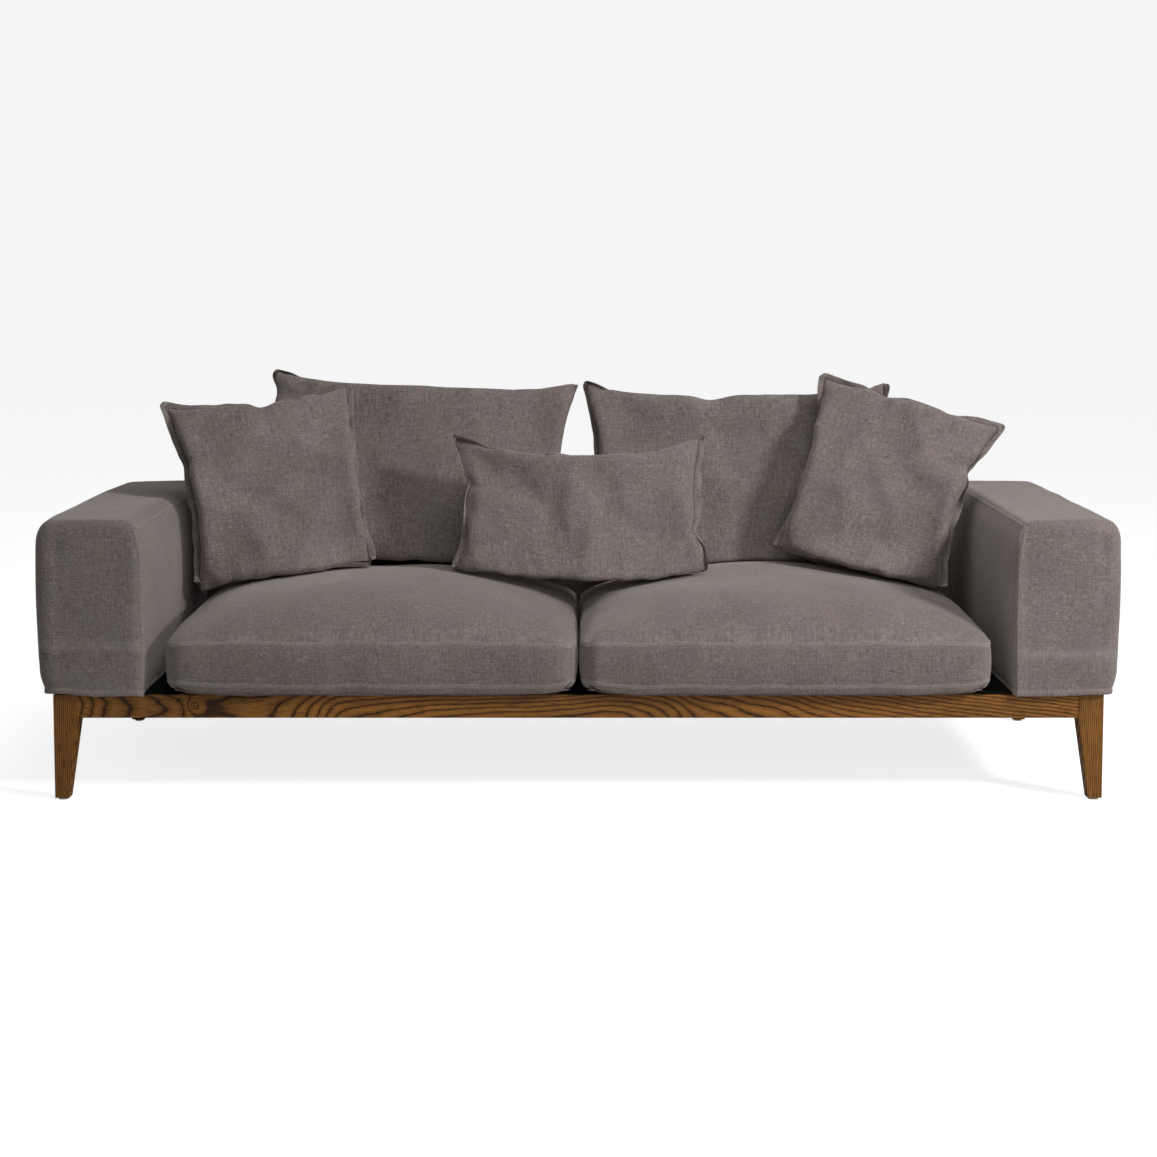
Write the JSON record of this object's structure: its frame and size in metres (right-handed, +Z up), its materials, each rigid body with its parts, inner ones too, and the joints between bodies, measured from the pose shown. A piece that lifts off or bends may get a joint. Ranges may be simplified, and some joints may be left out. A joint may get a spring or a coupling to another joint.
{
  "type": "sofa",
  "caption": "Low, wide sofa on a wooden frame with tapered legs, box arms in loose covers, crowned seat cushions, leaning back cushions and flanged scatter cushions.",
  "frame": {"origin": "on the floor, at the centre of the plan", "axes": "+Z up, -Y towards the front, +X to the right as seen from the front"},
  "size_m": [2.4, 0.938, 0.9279],
  "materials": {
    "ash": "brown stain, matt oil",
    "softwood": "planed",
    "plywood": "sanded",
    "glide_plastic": "moulded",
    "zinc_steel": "zinc plated",
    "webbing": "woven elastic",
    "lining": "plain woven",
    "black_cloth": "non-woven",
    "foam": "cut foam",
    "filling": "feather and fibre in cotton",
    "linen": "washed taupe grey linen"
  },
  "bodies": {
    "frame": {"arm_bolts": "zinc_steel", "back_bolts": "zinc_steel", "back_bottom_board": "softwood", "back_cover": "linen", "back_foam": "foam", "back_front_panel": "plywood", "back_left_corner_block": "softwood", "back_left_leg": "ash", "back_rail": "ash", "back_rear_panel": "plywood", "back_right_corner_block": "softwood", "back_right_leg": "ash", "back_studs": "softwood", "back_top_board": "plywood", "centre_bearer": "softwood", "corner_screws": "zinc_steel", "deck_cloth": "lining", "dust_cover": "black_cloth", "front_left_corner_block": "softwood", "front_left_leg": "ash", "front_rail": "ash", "front_right_corner_block": "softwood", "front_right_leg": "ash", "front_to_back_straps": "webbing", "glides": "glide_plastic", "left_arm_bottom_board": "softwood", "left_arm_cover": "linen", "left_arm_end_boards": "softwood", "left_arm_foam": "foam", "left_arm_inner_panel": "plywood", "left_arm_outer_panel": "plywood", "left_arm_top_board": "plywood", "left_bearer": "softwood", "left_side_rail": "ash", "rear_deck_rail": "softwood", "right_arm_bottom_board": "softwood", "right_arm_cover": "linen", "right_arm_end_boards": "softwood", "right_arm_foam": "foam", "right_arm_inner_panel": "plywood", "right_arm_outer_panel": "plywood", "right_arm_top_board": "plywood", "right_bearer": "softwood", "right_side_rail": "ash", "side_to_side_straps": "webbing", "tee_nuts": "zinc_steel"},
    "left_seat_cushion": {"left_seat_cushion_cover": "linen", "left_seat_cushion_foam": "foam"},
    "right_seat_cushion": {"right_seat_cushion_cover": "linen", "right_seat_cushion_foam": "foam"},
    "left_back_cushion": {"left_back_cushion_cover": "linen", "left_back_cushion_insert": "filling"},
    "right_back_cushion": {"right_back_cushion_cover": "linen", "right_back_cushion_insert": "filling"},
    "left_pillow": {"left_pillow_cover": "linen", "left_pillow_insert": "filling"},
    "right_pillow": {"right_pillow_cover": "linen", "right_pillow_insert": "filling"},
    "lumbar_pillow": {"lumbar_pillow_cover": "linen", "lumbar_pillow_insert": "filling"}
  },
  "joints": [
    {"name": "left_seat_cushion_pull", "type": "slide", "parent": "frame", "child": "left_seat_cushion", "axis": [0, -1, 0], "range_m": [0, 0.8]},
    {"name": "right_seat_cushion_pull", "type": "slide", "parent": "frame", "child": "right_seat_cushion", "axis": [0, -1, 0], "range_m": [0, 0.8]},
    {"name": "left_back_cushion_lift", "type": "slide", "parent": "frame", "child": "left_back_cushion", "axis": [0, 0.2588, 0.9659], "range_m": [0, 0.6]},
    {"name": "right_back_cushion_lift", "type": "slide", "parent": "frame", "child": "right_back_cushion", "axis": [0, 0.2588, 0.9659], "range_m": [0, 0.6]},
    {"name": "left_pillow_lift", "type": "slide", "parent": "frame", "child": "left_pillow", "axis": [0, -0.5, 0.866], "range_m": [0, 0.5]},
    {"name": "right_pillow_lift", "type": "slide", "parent": "frame", "child": "right_pillow", "axis": [0, -0.5, 0.866], "range_m": [0, 0.5]},
    {"name": "lumbar_pillow_lift", "type": "slide", "parent": "frame", "child": "lumbar_pillow", "axis": [0, -0.5, 0.866], "range_m": [0, 0.5]}
  ]
}
